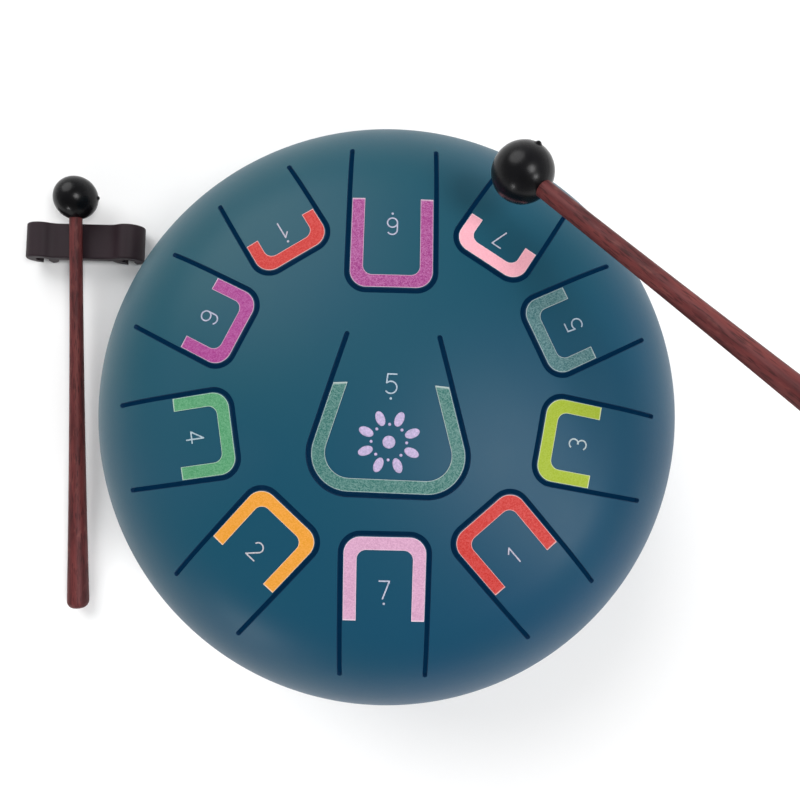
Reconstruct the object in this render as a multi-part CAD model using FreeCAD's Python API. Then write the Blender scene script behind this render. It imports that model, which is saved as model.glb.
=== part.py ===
import FreeCAD, Part
import math
import os

os.makedirs("parts", exist_ok=True)

# A round steel tongue drum on rubber feet, with two mallets and a small mallet holder.
# Millimetres. +Z is up, the drum's axis is the Z axis, and the table is the plane Z = 0.

# Pressed steel bowls, the same pressing above and below
seam_radius = 100.0
knuckle_radius = 45.0
crown_radius = 230.0
sheet = 1.5
table_clearance = 4.0
weld_width = 1.2
weld_proud = 0.4
sound_hole_radius = 25.0

# Rubber feet
foot_count = 3
foot_circle_radius = 58.0
foot_radius = 7.0
foot_edge_round = 1.5
first_foot_bearing = 90.0

# Tongues cut in the upper bowl
slit_width = 1.4
rim_margin = 16.0
ring_corner_radius = 6.0
root_gap = 0.08
centre_bearing = 88.9
centre_aside = -0.9
centre_tip = -26.6
centre_root = 21.4
centre_tip_half = 27.5
centre_root_half = 13.5
centre_corner_radius = 12.0

# Vinyl stickers and printed figures
sticker_thickness = 0.2
sticker_margin = 0.3
sticker_arm = 3.85
ring_inner_round = 2.8
centre_inner_round = 7.4
ring_arm_end = 64.0
centre_arm_end = 6.3
ink_thickness = 0.12
ink_stroke = 0.42
figure_height = 5.4
centre_figure_height = 5.7
dot_radius = 0.36
dot_gap = 1.5
rosette_reach = 9.6
rosette_centre = -10.8
rosette_petals = 8
petal_long = 4.6
petal_wide = 2.6
rosette_hub_radius = 1.9

# Mallets, all stations measured from the head's centre along the shaft
head_radius = 8.95
neck_radius = 2.6
waist_radius = 3.15
butt_radius = 4.35
neck_length = 26.0
mallet_length = 178.5
butt_round = 3.0
socket_depth = 12.0
nib_radius = 1.0
nib_height = 0.8

# Mallet holder, two spring clips under a dipped web
holder_from_rim = 29.2
holder_y = 71.0
holder_depth = 14.7
clip_radius = 6.5
clip_spacing = 36.1
clip_clearance = 0.1
clip_mouth = 4.0
web_top = 10.4
web_thickness = 4.0
web_blend = 8.0
holder_edge_round = 0.8

# How the mallets lie
rest_gap = 0.3
floor_gap = 0.05
first_head_gap = 0.7
first_offset = -1.6
first_bearing = -88.35
first_nib_turn = -95.0
second_head_out = 75.0
second_head_bearing = 60.87
second_hover = 27.1
second_bearing = -48.0
second_rise = 26.0
second_nib_turn = -50.0

# Ring tongues: name, bearing, how far the axis passes beside the centre, tip distance, half width,
# figure, figure distance, dot side
ring_tongues = [
    ("low_6", 90.0, -0.2, 34.3, 13.4, "6", 54.8, 1),
    ("low_7", -90.0, 0.3, 37.6, 13.15, "7", 54.5, 1),
    ("1", -48.0, -0.1, 41.4, 13.2, "1", 58.3, 0),
    ("2", -132.0, 1.0, 41.4, 13.25, "2", 58.1, 0),
    ("3", -9.2, -0.8, 46.0, 13.4, "3", 58.4, 0),
    ("4", -170.8, 1.2, 45.7, 13.3, "4", 58.4, 0),
    ("5", 26.2, -1.3, 48.1, 12.95, "5", 62.0, 0),
    ("6", 153.8, 1.0, 47.9, 12.9, "6", 60.3, 0),
    ("7", 57.8, -0.5, 51.8, 12.7, "7", 62.0, 0),
    ("high_1", 122.2, 0.2, 51.9, 12.7, "1", 62.9, -1),
]

half_weld = 0.5 * weld_width
knuckle_centre = seam_radius - knuckle_radius
crown_drop = math.sqrt((crown_radius - knuckle_radius) ** 2 - knuckle_centre ** 2)
seam_height = table_clearance + crown_radius - crown_drop + half_weld
top_base = seam_height + half_weld
bottom_base = seam_height - half_weld
slit_end_radius = seam_radius - rim_margin
holder_x = -seam_radius - holder_from_rim
first_station = head_radius + first_head_gap + 0.5 * holder_depth


def vec(x, y, z=0.0):
    return FreeCAD.Vector(x, y, z)


def save(node, shape):
    shape.exportStep("parts/" + node + ".step")


def closed_face(edges):
    return Part.Face(Part.Wire(Part.__sortEdges__(edges)))


def line(a, b):
    return Part.makeLine(a, b)


def arc(a, m, b):
    return Part.Arc(a, m, b).toShape()


# Bowls

def curve_points(grow):
    # Points of the pressing's section, offset outward by grow, with its base at height 0
    crown = crown_radius + grow
    knuckle = knuckle_radius + grow
    lean = math.asin(knuckle_centre / (crown_radius - knuckle_radius))
    start = vec(knuckle_centre + knuckle, 0, 0)
    turn = 0.5 * (0.5 * math.pi - lean)
    bend = vec(knuckle_centre + knuckle * math.cos(turn), 0, knuckle * math.sin(turn))
    join = vec(crown * math.sin(lean), 0, crown * math.cos(lean) - crown_drop)
    half = vec(crown * math.sin(0.5 * lean), 0, crown * math.cos(0.5 * lean) - crown_drop)
    top = vec(0, 0, crown - crown_drop)
    return start, bend, join, half, top


def top_height(radius):
    # Height of the upper bowl's outer surface at a distance from the axis
    if radius < crown_radius * knuckle_centre / (crown_radius - knuckle_radius):
        return top_base + math.sqrt(crown_radius ** 2 - radius ** 2) - crown_drop
    return top_base + math.sqrt(knuckle_radius ** 2 - (radius - knuckle_centre) ** 2)


def dome_layer(inner_grow, outer_grow):
    # The layer between two offsets of the pressing's outer surface
    a = curve_points(outer_grow)
    b = curve_points(inner_grow)
    edges = [arc(a[0], a[1], a[2]), arc(a[2], a[3], a[4]), line(a[4], b[4])]
    edges += [arc(b[4], b[3], b[2]), arc(b[2], b[1], b[0]), line(b[0], a[0])]
    return closed_face(edges).revolve(vec(0, 0), vec(0, 0, 1), 360)


def dome_filled(grow):
    a = curve_points(grow)
    edges = [arc(a[0], a[1], a[2]), arc(a[2], a[3], a[4]), line(a[4], vec(0, 0)), line(vec(0, 0), a[0])]
    return closed_face(edges).revolve(vec(0, 0), vec(0, 0, 1), 360)


def raised(shape):
    copy = shape.copy()
    copy.translate(vec(0, 0, top_base))
    return copy


def upside_down(shape):
    copy = shape.mirror(vec(0, 0, 0), vec(0, 0, 1))
    copy.translate(vec(0, 0, bottom_base))
    return copy


steel_layer = raised(dome_layer(-sheet, 0.0))
sticker_layer = raised(dome_layer(0.0, sticker_thickness))
ink_layer = raised(dome_layer(0.0, ink_thickness))


# Outlines on the tongues

def on_bearing(u, v, bearing):
    turn = math.radians(bearing)
    return vec(u * math.cos(turn) - v * math.sin(turn), u * math.sin(turn) + v * math.cos(turn))


def outline(tongue, grow, end, corner):
    # Rounded paddle: tip across, sides running back to the end line, all moved outward by grow
    name, bearing, aside, tip, tip_half, root, root_half = tongue
    run = root - tip
    lean = root_half - tip_half
    length = math.hypot(run, lean)
    du = run / length
    dv = lean / length
    tip_u = tip - grow
    corner_v = tip_half + grow / du - grow * dv / du
    end_v = corner_v + (end - tip_u) * dv / du
    inside = math.acos(-dv)
    reach = corner / math.tan(0.5 * inside)
    tip_touch = (tip_u, corner_v - reach)
    side_touch = (tip_u + du * reach, corner_v + dv * reach)
    aim = 0.5 * inside - 0.5 * math.pi
    centre_far = corner / math.sin(0.5 * inside)
    centre = (tip_u + centre_far * math.cos(aim), corner_v + centre_far * math.sin(aim))
    crest = (centre[0] - corner * math.cos(aim), centre[1] - corner * math.sin(aim))
    right = [(end, end_v), side_touch, crest, tip_touch]
    left = [(u, -v) for u, v in right]
    r = [on_bearing(u, v + aside, bearing) for u, v in right]
    s = [on_bearing(u, v + aside, bearing) for u, v in left]
    edges = [line(r[0], r[1]), arc(r[1], r[2], r[3]), line(r[3], s[3])]
    edges += [arc(s[3], s[2], s[1]), line(s[1], s[0]), line(s[0], r[0])]
    return edges


def column(edges):
    # Tall prism over a plan outline, through the upper bowl
    prism = closed_face(edges).extrude(vec(0, 0, 2.0 * seam_height))
    prism.translate(vec(0, 0, seam_height))
    return prism


def sticker_column(tongue, corner, inner_round, arm_end):
    outer_grow = -0.5 * slit_width - sticker_margin
    inner_grow = outer_grow - sticker_arm
    outer = column(outline(tongue, outer_grow, arm_end, corner + outer_grow))
    inner = column(outline(tongue, inner_grow, arm_end + sticker_arm, inner_round))
    return outer.cut(inner)


# Printed figures, drawn one unit tall

def stroke(p, q, half):
    along = math.atan2(q[1] - p[1], q[0] - p[0])
    ox = -half * math.sin(along)
    oy = half * math.cos(along)
    ex = half * math.cos(along)
    ey = half * math.sin(along)
    edges = [line(vec(p[0] + ox, p[1] + oy), vec(q[0] + ox, q[1] + oy))]
    edges.append(arc(vec(q[0] + ox, q[1] + oy), vec(q[0] + ex, q[1] + ey), vec(q[0] - ox, q[1] - oy)))
    edges.append(line(vec(q[0] - ox, q[1] - oy), vec(p[0] - ox, p[1] - oy)))
    edges.append(arc(vec(p[0] - ox, p[1] - oy), vec(p[0] - ex, p[1] - ey), vec(p[0] + ox, p[1] + oy)))
    return closed_face(edges)


def bow(centre, radius, first, last, half):
    def at(r, degrees):
        return vec(centre[0] + r * math.cos(math.radians(degrees)), centre[1] + r * math.sin(math.radians(degrees)))

    middle = 0.5 * (first + last)
    near = radius - half
    far = radius + half
    edges = [arc(at(far, first), at(far, middle), at(far, last)), line(at(far, last), at(near, last))]
    edges += [arc(at(near, last), at(near, middle), at(near, first)), line(at(near, first), at(far, first))]
    return closed_face(edges)


def ring_face(centre, radius, half):
    outer = Part.Face(Part.Wire(Part.makeCircle(radius + half, vec(centre[0], centre[1]))))
    inner = Part.Face(Part.Wire(Part.makeCircle(radius - half, vec(centre[0], centre[1]))))
    return outer.cut(inner)


def figure_faces(figure, tall):
    h = 0.5 * ink_stroke
    t = tall

    def bar(x1, y1, x2, y2):
        return stroke((x1 * t, y1 * t), (x2 * t, y2 * t), h)

    def curve(x, y, radius, first, last):
        return bow((x * t, y * t), radius * t, first, last, h)

    shapes = {
        "1": [bar(0.0, -0.5, 0.0, 0.5), bar(0.0, 0.5, -0.24, 0.24)],
        "2": [curve(0.0, 0.22, 0.28, -35.0, 165.0), bar(0.23, 0.06, -0.3, -0.5), bar(-0.3, -0.5, 0.3, -0.5)],
        "3": [curve(0.0, 0.24, 0.26, -90.0, 150.0), curve(0.0, -0.24, 0.26, -150.0, 90.0)],
        "4": [bar(0.12, -0.5, 0.12, 0.5), bar(0.12, 0.5, -0.3, -0.2), bar(-0.3, -0.2, 0.32, -0.2)],
        "5": [
            bar(0.26, 0.5, -0.2, 0.5),
            bar(-0.2, 0.5, -0.24, 0.04),
            curve(-0.02, -0.19, 0.31, -145.0, 133.0),
        ],
        "6": [
            ring_face((0.0, -0.22 * t), 0.28 * t, h),
            bar(-0.28, -0.22, -0.28, 0.22),
            curve(0.0, 0.22, 0.28, 30.0, 180.0),
        ],
        "7": [bar(-0.28, 0.5, 0.28, 0.5), bar(0.28, 0.5, -0.08, -0.5)],
    }
    return shapes[figure]


def print_on(faces, centre, up_bearing):
    # Lays plan faces on the dome with their top towards up_bearing and returns the ink solid
    tall = vec(0, 0, 2.0 * seam_height)
    prism = faces[0].extrude(tall)
    for face in faces[1:]:
        prism = prism.fuse(face.extrude(tall))
    prism = prism.removeSplitter()
    prism.rotate(vec(0, 0), vec(0, 0, 1), up_bearing - 90.0)
    prism.translate(vec(centre.x, centre.y, seam_height))
    return ink_layer.common(prism)


def figure_solid(figure, tall, bearing, aside, distance, up_bearing, dot_side):
    faces = figure_faces(figure, tall)
    ink = print_on(faces, on_bearing(distance, aside, bearing), up_bearing)
    if dot_side != 0:
        dot_distance = distance + dot_side * (0.5 * tall + dot_gap)
        dot = Part.Face(Part.Wire(Part.makeCircle(dot_radius, vec(0, 0))))
        ink = ink.fuse(print_on([dot], on_bearing(dot_distance, aside, bearing), up_bearing))
    return ink


# Tongues, stickers and figures

tongues = [("low_5", centre_bearing, centre_aside, centre_tip, centre_tip_half, centre_root, centre_root_half)]
corners = {"low_5": centre_corner_radius}
inner_rounds = {"low_5": centre_inner_round}
arm_ends = {"low_5": centre_arm_end}
for name, bearing, aside, tip, half, figure, figure_at, dot_side in ring_tongues:
    root = math.sqrt(slit_end_radius ** 2 - half ** 2)
    tongues.append((name, bearing, aside, tip, half, root, half))
    corners[name] = ring_corner_radius
    inner_rounds[name] = ring_inner_round
    arm_ends[name] = ring_arm_end

upper = steel_layer
for tongue in tongues:
    name = tongue[0]
    root = tongue[5]
    corner = corners[name]
    blade = column(outline(tongue, -0.5 * slit_width, root, corner - 0.5 * slit_width))
    window = column(outline(tongue, 0.5 * slit_width, root + root_gap, corner + 0.5 * slit_width))
    save("tongue_" + name, steel_layer.common(blade))
    upper = upper.cut(window)
    frame = sticker_column(tongue, corner, inner_rounds[name], arm_ends[name])
    save("sticker_" + name, sticker_layer.common(frame))
save("upper_bowl", upper)

for name, bearing, aside, tip, half, figure, figure_at, dot_side in ring_tongues:
    upward = bearing + 180.0
    save("figure_" + name, figure_solid(figure, figure_height, bearing, aside, figure_at, upward, dot_side))
centre_figure = figure_solid(
    "5", centre_figure_height, centre_bearing, centre_aside, centre_arm_end, centre_bearing, -1)
save("figure_low_5", centre_figure)

# Printed rosette on the centre tongue
rosette_place = on_bearing(rosette_centre, centre_aside, centre_bearing)
hub = Part.Face(Part.Wire(Part.makeCircle(rosette_hub_radius, vec(0, 0))))
rosette = print_on([hub], rosette_place, centre_bearing)
for k in range(rosette_petals):
    oval = Part.Ellipse(vec(0, 0), 0.5 * petal_long, 0.5 * petal_wide).toShape()
    petal = Part.Face(Part.Wire(oval))
    petal.translate(vec(rosette_reach - 0.5 * petal_long, 0))
    petal.rotate(vec(0, 0), vec(0, 0, 1), 360.0 * (k + 0.5) / rosette_petals)
    rosette = rosette.fuse(print_on([petal], rosette_place, centre_bearing))
save("rosette", rosette)


# Lower bowl, weld and feet

lower = upside_down(dome_layer(-sheet, 0.0))
lower = lower.cut(Part.makeCylinder(sound_hole_radius, seam_height, vec(0, 0, 0)))
save("lower_bowl", lower)

inner = seam_radius - sheet
outer = seam_radius
bead = [line(vec(inner, 0, bottom_base), vec(inner, 0, top_base))]
bead.append(line(vec(inner, 0, top_base), vec(outer, 0, top_base)))
bead.append(arc(vec(outer, 0, top_base), vec(outer + weld_proud, 0, seam_height), vec(outer, 0, bottom_base)))
bead.append(line(vec(outer, 0, bottom_base), vec(inner, 0, bottom_base)))
save("seam_weld", closed_face(bead).revolve(vec(0, 0), vec(0, 0, 1), 360))

lower_filled = upside_down(dome_filled(0.0))
for k in range(foot_count):
    bearing = first_foot_bearing + 360.0 * k / foot_count
    spot = on_bearing(foot_circle_radius, 0, bearing)
    foot = Part.makeCylinder(foot_radius, bottom_base)
    rim = [e for e in foot.Edges if e.BoundBox.ZMax < 0.001]
    foot = foot.makeFillet(foot_edge_round, rim)
    foot.translate(spot)
    save("foot_" + str(k + 1), foot.cut(lower_filled))


# Mallets

butt_station = mallet_length - head_radius
shaft_start = head_radius - socket_depth
round_station = butt_station - butt_round


def mallet_shaft():
    middle = 0.5 * (neck_length + round_station)
    crest = butt_round * math.sqrt(0.5)
    edges = [line(vec(shaft_start, 0), vec(shaft_start, neck_radius))]
    edges.append(line(vec(shaft_start, neck_radius), vec(neck_length, neck_radius)))
    edges.append(arc(vec(neck_length, neck_radius), vec(middle, waist_radius), vec(round_station, butt_radius)))
    inset = butt_radius - butt_round
    bend = vec(round_station + crest, inset + crest)
    edges.append(arc(vec(round_station, butt_radius), bend, vec(butt_station, inset)))
    edges.append(line(vec(butt_station, inset), vec(butt_station, 0)))
    edges.append(line(vec(butt_station, 0), vec(shaft_start, 0)))
    return closed_face(edges).revolve(vec(0, 0), vec(1, 0, 0), 360)


def mallet_head(nib_turn):
    ball = Part.makeSphere(head_radius)
    foot = math.sqrt(head_radius ** 2 - nib_radius ** 2)
    nib = Part.makeCone(nib_radius, 0.4 * nib_radius, nib_height, vec(0, 0, foot), vec(0, 0, 1))
    root = Part.makeCylinder(nib_radius, 0.5 * head_radius, vec(0, 0, 0.5 * head_radius), vec(0, 0, 1))
    root = root.common(ball)
    nib = nib.fuse(root)
    nib.rotate(vec(0, 0), vec(1, 0, 0), nib_turn)
    socket = Part.makeCylinder(neck_radius, socket_depth, vec(shaft_start, 0), vec(1, 0, 0))
    return ball.fuse(nib).cut(socket)


def placed(shape, head, bearing, rise):
    copy = shape.copy()
    copy.rotate(vec(0, 0), vec(0, 1, 0), -rise)
    copy.rotate(vec(0, 0), vec(0, 0, 1), bearing)
    copy.translate(head)
    return copy


# The first mallet lies with its neck on the holder's web and its butt on the table
front_station = first_station + 0.5 * holder_depth
neck_height = web_top + neck_radius + rest_gap
butt_height = butt_radius + floor_gap
fall = math.degrees(math.asin((neck_height - butt_height) / (round_station - front_station)))
front_drop = front_station * math.sin(math.radians(fall))
head_plan = on_bearing(first_station * math.cos(math.radians(fall)), 0, first_bearing)
head_height = neck_height + front_drop
first_head = vec(holder_x + first_offset - head_plan.x, holder_y - head_plan.y, head_height)
save("mallet_1_head", placed(mallet_head(first_nib_turn), first_head, first_bearing, -fall))
save("mallet_1_shaft", placed(mallet_shaft(), first_head, first_bearing, -fall))

# The second mallet is held above the drum
second_head = on_bearing(second_head_out, 0, second_head_bearing)
second_head.z = top_height(second_head_out) + second_hover
save("mallet_2_head", placed(mallet_head(second_nib_turn), second_head, second_bearing, second_rise))
save("mallet_2_shaft", placed(mallet_shaft(), second_head, second_bearing, second_rise))


# Mallet holder

bore_radius = neck_radius + clip_clearance
half_mouth = 0.5 * clip_mouth
lip_outer = clip_radius - math.sqrt(clip_radius ** 2 - half_mouth ** 2)
lip_inner = clip_radius - math.sqrt(bore_radius ** 2 - half_mouth ** 2)
web_low = web_top - web_thickness
web_over = web_top - clip_radius
blend_out = math.sqrt((clip_radius + web_blend) ** 2 - (web_over + web_blend) ** 2)
share = clip_radius / (clip_radius + web_blend)
touch_x = blend_out * share
touch_z = clip_radius + (web_over + web_blend) * share
under = math.sqrt(clip_radius ** 2 - (clip_radius - web_low) ** 2)
clip_x = 0.5 * clip_spacing


def flank(side):
    # Section of one half of the holder from the web's middle round the clip and back
    def p(x, z):
        return vec(side * x, 0, z)

    blend_low = math.atan2(-(web_over + web_blend), blend_out)
    blend_turn = 0.5 * (blend_low - 0.5 * math.pi)
    blend_x = clip_x - blend_out + web_blend * math.cos(blend_turn)
    blend_z = web_top + web_blend + web_blend * math.sin(blend_turn)
    edges = [line(p(0, web_low), p(0, web_top))]
    edges.append(line(p(0, web_top), p(clip_x - blend_out, web_top)))
    edges.append(arc(p(clip_x - blend_out, web_top), p(blend_x, blend_z), p(clip_x - touch_x, touch_z)))
    lip = p(clip_x + half_mouth, lip_outer)
    edges.append(arc(p(clip_x - touch_x, touch_z), p(clip_x + clip_radius, clip_radius), lip))
    edges.append(line(lip, p(clip_x + half_mouth, lip_inner)))
    top = clip_radius + bore_radius
    edges.append(arc(p(clip_x + half_mouth, lip_inner), p(clip_x, top), p(clip_x - half_mouth, lip_inner)))
    edges.append(line(p(clip_x - half_mouth, lip_inner), p(clip_x - half_mouth, lip_outer)))
    low_turn = 0.5 * (math.atan2(lip_outer - clip_radius, -half_mouth) + math.atan2(web_low - clip_radius, -under))
    low_mid = p(clip_x + clip_radius * math.cos(low_turn), clip_radius * (1.0 + math.sin(low_turn)))
    edges.append(arc(p(clip_x - half_mouth, lip_outer), low_mid, p(clip_x - under, web_low)))
    edges.append(line(p(clip_x - under, web_low), p(0, web_low)))
    slab = closed_face(edges).extrude(vec(0, holder_depth, 0))
    slab.translate(vec(holder_x, holder_y - 0.5 * holder_depth, 0))
    return slab


holder = flank(1.0).fuse(flank(-1.0)).removeSplitter()
rims = []
for edge in holder.Edges:
    box = edge.BoundBox
    across = box.YMax - box.YMin < 0.001
    if across and box.ZMax > web_top - 0.001:
        rims.append(edge)
holder = holder.makeFillet(holder_edge_round, rims)
save("mallet_holder", holder)
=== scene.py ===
import math

import bmesh
import bpy
import numpy as np
from mathutils import Matrix, Vector
from mathutils.geometry import delaunay_2d_cdt
from mathutils.kdtree import KDTree


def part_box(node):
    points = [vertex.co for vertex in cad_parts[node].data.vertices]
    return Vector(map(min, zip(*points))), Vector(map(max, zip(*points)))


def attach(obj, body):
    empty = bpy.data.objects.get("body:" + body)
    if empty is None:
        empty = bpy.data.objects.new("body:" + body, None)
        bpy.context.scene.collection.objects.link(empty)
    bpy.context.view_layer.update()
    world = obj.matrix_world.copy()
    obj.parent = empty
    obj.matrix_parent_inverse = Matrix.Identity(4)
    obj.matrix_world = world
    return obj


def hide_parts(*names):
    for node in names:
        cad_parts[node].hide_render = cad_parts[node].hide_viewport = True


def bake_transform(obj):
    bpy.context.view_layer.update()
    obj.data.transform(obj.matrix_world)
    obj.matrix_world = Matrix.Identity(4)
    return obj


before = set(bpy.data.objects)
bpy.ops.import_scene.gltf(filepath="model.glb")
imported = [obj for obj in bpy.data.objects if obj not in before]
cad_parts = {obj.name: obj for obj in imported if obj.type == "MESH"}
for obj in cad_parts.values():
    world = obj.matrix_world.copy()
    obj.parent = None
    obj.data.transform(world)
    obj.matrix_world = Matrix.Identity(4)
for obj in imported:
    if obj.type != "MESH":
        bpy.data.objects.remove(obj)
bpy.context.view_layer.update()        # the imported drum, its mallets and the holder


def operator(operation, swapped=False):
    def apply(wire, other):
        first, second = (other, wire) if swapped else (wire, other)
        return wire.maths(operation, first, second)

    return apply


# a node socket that can be used in plain sums
class Wire:
    __add__ = operator("ADD")
    __radd__ = operator("ADD", True)
    __sub__ = operator("SUBTRACT")
    __rsub__ = operator("SUBTRACT", True)
    __mul__ = operator("MULTIPLY")
    __truediv__ = operator("DIVIDE")
    __rtruediv__ = operator("DIVIDE", True)
    __pow__ = operator("POWER")
    __mod__ = operator("MODULO")
    __gt__ = operator("GREATER_THAN")

    def __init__(self, sheet, socket):
        self.sheet = sheet
        self.socket = socket

    def maths(self, operation, first, second=0.0):
        return self.sheet.add("ShaderNodeMath", {"operation": operation}, {0: first, 1: second})

    def clipped(self):
        return self.sheet.add("ShaderNodeClamp", {}, {0: self})

    def share(self, floor, gain, most):
        return ((self - floor) * gain).clipped() * most

    def output(self, name):
        return Wire(self.sheet, self.socket.node.outputs[name])


# a node tree under construction
class NodeSheet:
    def __init__(self, tree):
        self.tree = tree

    def add(self, kind, settings=None, sockets=None, out=0):
        node = self.tree.nodes.new(kind)
        for name, value in (settings or {}).items():
            if name == "stops":
                elements = node.color_ramp.elements
                elements[0].position, elements[0].color = value[0]
                elements[1].position, elements[1].color = value[1]
                for position, colour in value[2:]:
                    elements.new(position).color = colour
            else:
                setattr(node, name, value)
        for name, value in (sockets or {}).items():
            if isinstance(value, Wire):
                self.tree.links.new(value.socket, node.inputs[name])
            else:
                node.inputs[name].default_value = value
        return Wire(self, node.outputs[out]) if len(node.outputs) else None

    def blendColours(self, factor, first, second):
        settings = {"data_type": "RGBA", "blend_type": "MIX"}
        return self.add("ShaderNodeMix", settings, {0: factor, 6: first, 7: second}, 2)

    def noise(self, place, scale, detail=2.0, roughness=0.5):
        sockets = {"Vector": place, "Scale": scale, "Detail": detail, "Roughness": roughness}
        return self.add("ShaderNodeTexNoise", {}, sockets)

    def stretched(self, place, scale):
        return self.add("ShaderNodeVectorMath", {"operation": "MULTIPLY"}, {0: place, 1: scale})

    def bump(self, height, distance, strength):
        sockets = {"Height": height, "Distance": distance, "Strength": strength}
        return self.add("ShaderNodeBump", {}, sockets)


def linear(red, green, blue):
    # display levels from 0 to 255 as a scene colour
    steps = [value / 255 for value in (red, green, blue)]
    levels = [value / 12.92 if value < 0.04045 else ((value + 0.055) / 1.055) ** 2.4 for value in steps]
    return (*levels, 1.0)


def tint(colour, towards, share):
    return tuple(a + (b - a) * share for a, b in zip(colour, towards))


def newFinish(name):
    material = bpy.data.materials.new(name)
    material.use_nodes = True
    material.node_tree.nodes.clear()
    return material, NodeSheet(material.node_tree)


def closeFinish(sheet, sockets):
    shader = sheet.add("ShaderNodeBsdfPrincipled", {}, sockets)
    sheet.add("ShaderNodeOutputMaterial", {}, {"Surface": shader})


def objectPlace(sheet):
    return sheet.add("ShaderNodeTexCoord", {}, {}, "Object")


# finishes: a noise is its scale, detail and roughness
black = linear(0, 0, 0)
white = linear(255, 255, 255)
drumPaint = {
    # the light colour is the lit north-west side, and the deeper blue is painted shade for the south-east
    # side
    "light": linear(24, 78, 92), "shadedDeepBlue": linear(7, 66, 95), "sheenAndDustGrey": linear(62, 88, 106), "specular": 0.2,
    "east": 0.62, "south": 0.78, "shadeReach": 0.085, "mottle": (24.0, 3.0, 0.55), "mottleShare": 0.5,
    "cloud": (13.0, 2.0), "sheenCloudGain": 2.2, "sheenCloudShare": 0.35,
    "dust": (2600.0, 1.0), "dustFloor": 0.72, "dustShare": 0.12,
    "peel": (900.0, 2.0), "peelHeight": 0.00002, "peelBump": 0.6,
    "roughness": 0.42, "mottleRough": 0.12, "peelRough": 0.05,
}


def makeDrumPaint():
    look = drumPaint
    material, sheet = newFinish("satinDrumPaint")
    place = objectPlace(sheet)
    axes = sheet.add("ShaderNodeSeparateXYZ", {}, {0: place}, "X")
    # painted shade: the colour darkens to a deeper blue towards the south-east, the side away from the key
    # light
    across = axes * look["east"] - axes.output("Y") * look["south"]
    fade = (across / (2.0 * look["shadeReach"]) + 0.5).clipped()
    mottle = sheet.noise(place, *look["mottle"])
    fade = (fade + (mottle - 0.5) * look["mottleShare"]).clipped()
    colour = sheet.blendColours(fade, look["light"], look["shadedDeepBlue"])
    # painted sheen: broad random clouds lighten the paint towards a greyish sheen colour
    cloud = sheet.noise(place, *look["cloud"]).share(0.5, look["sheenCloudGain"], look["sheenCloudShare"])
    colour = sheet.blendColours(cloud, colour, look["sheenAndDustGrey"])
    # real dust specks, in the same greyish colour as the painted sheen
    dust = (sheet.noise(place, *look["dust"]) > look["dustFloor"]) * look["dustShare"]
    colour = sheet.blendColours(dust, colour, look["sheenAndDustGrey"])
    peel = sheet.noise(place, *look["peel"])
    rough = look["roughness"] + (mottle - 0.5) * look["mottleRough"] + (peel - 0.5) * look["peelRough"]
    closeFinish(sheet, {"Base Color": colour, "Roughness": rough, "Specular IOR Level": look["specular"],
                        "Normal": sheet.bump(peel, look["peelHeight"], look["peelBump"])})
    return material


navyPaint = {"burn": (700.0, 2.0), "roughness": 0.5, "burnRough": 0.15, "specular": 0.3,
             "burnHeight": 0.00003, "burnBump": 0.5}


def makeGlowingNavyPaint(name, dark, pale, glow):
    # slit walls and the insides of the bowls, with a painted glow that stands in for the light entering by
    # the slits
    look = navyPaint
    material, sheet = newFinish(name)
    place = objectPlace(sheet)
    burn = sheet.noise(place, *look["burn"])
    colour = sheet.blendColours(burn, dark, pale)
    rough = look["roughness"] + burn * look["burnRough"]
    closeFinish(sheet, {"Base Color": colour, "Roughness": rough, "Specular IOR Level": look["specular"],
                        "Emission Color": colour, "Emission Strength": glow,
                        "Normal": sheet.bump(burn, look["burnHeight"], look["burnBump"])})
    return material


glitterFilm = {
    "flakeScale": 3200.0, "flakeDark": 0.42, "flakePale": 0.16, "flakeHeight": 0.00002, "flakeBump": 0.35,
    "drift": (140.0, 3.0), "driftGain": 0.3, "driftFloor": 0.15, "cutTint": 0.6, "cutShare": 0.75,
    "roughness": 0.55, "flakeGloss": 0.15, "specular": 0.2,
}


def makeFilm(name, colour, grain):
    look = glitterFilm
    material, sheet = newFinish(name)
    place = objectPlace(sheet)
    cells = sheet.add("ShaderNodeTexVoronoi", {}, {"Vector": place, "Scale": look["flakeScale"]}, "Color")
    flake = sheet.add("ShaderNodeSeparateColor", {}, {0: cells}, 0)
    drift = sheet.noise(place, *look["drift"])
    dark = tint(colour, black, look["flakeDark"] * grain)
    pale = tint(colour, white, look["flakePale"] * grain)
    spread = sheet.blendColours(flake, dark, pale)
    even = ((drift - 0.5) * look["driftGain"] + look["driftFloor"]).clipped()
    spread = sheet.blendColours(even, spread, colour)
    rim = sheet.add("ShaderNodeAttribute", {"attribute_name": "trim"}, {}, "Fac")
    body = sheet.blendColours(rim * look["cutShare"], spread, tint(colour, white, look["cutTint"]))
    rough = look["roughness"] - flake * look["flakeGloss"] * grain
    closeFinish(sheet, {"Base Color": body, "Roughness": rough, "Specular IOR Level": look["specular"],
                        "Normal": sheet.bump(flake, look["flakeHeight"], look["flakeBump"] * grain)})
    return material


printInk = {"ground": linear(50, 95, 120), "fade": 0.55, "patch": (1500.0, 2.0, 0.6), "patchGain": 1.6,
            "patchFloor": 0.45, "patchRough": 0.1, "patchHeight": 0.00001, "patchBump": 0.4,
            "roughness": 0.55}


def makeInk(name, colour):
    look = printInk
    material, sheet = newFinish(name)
    place = objectPlace(sheet)
    patch = sheet.noise(place, *look["patch"])
    faded = tint(colour, look["ground"], look["fade"])
    cover = (patch * look["patchGain"] - look["patchFloor"]).clipped()
    shade = sheet.blendColours(cover, faded, colour)
    rough = look["roughness"] + patch * look["patchRough"]
    closeFinish(sheet, {"Base Color": shade, "Roughness": rough,
                        "Normal": sheet.bump(patch, look["patchHeight"], look["patchBump"])})
    return material


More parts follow.
